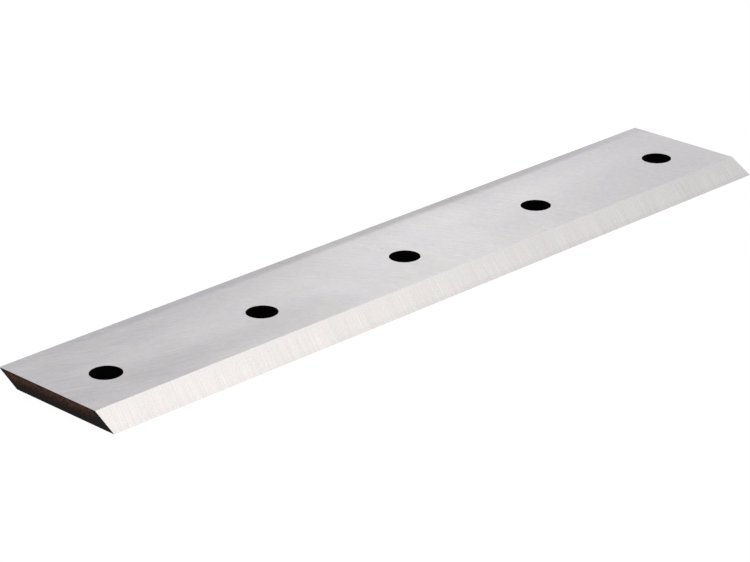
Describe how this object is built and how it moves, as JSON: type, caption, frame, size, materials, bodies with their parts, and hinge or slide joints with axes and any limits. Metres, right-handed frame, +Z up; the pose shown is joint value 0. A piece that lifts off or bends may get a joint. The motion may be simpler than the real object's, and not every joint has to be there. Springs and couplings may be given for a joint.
{
  "type": "chipper shredder blade",
  "caption": "Long flat reversible chipper blade: ground steel bar of parallelogram section with opposed 30 degree cutting bevels and a row of plain bolt holes.",
  "frame": {"origin": "on the axis of the middle bolt hole, in the bottom face, which is also the middle of the bounding box's bottom", "axes": "+X along the blade, +Y across it from the front cutting edge (at the bottom) to the back one (at the top), +Z up through the thickness, along the bolt holes"},
  "size_m": [0.3, 0.055, 0.005],
  "materials": {
    "ground_steel": "ground and satin, with dark scale on the cut ends and in the bolt holes"
  },
  "bodies": {
    "root": {"chipper_blade": "ground_steel"}
  },
  "joints": []
}
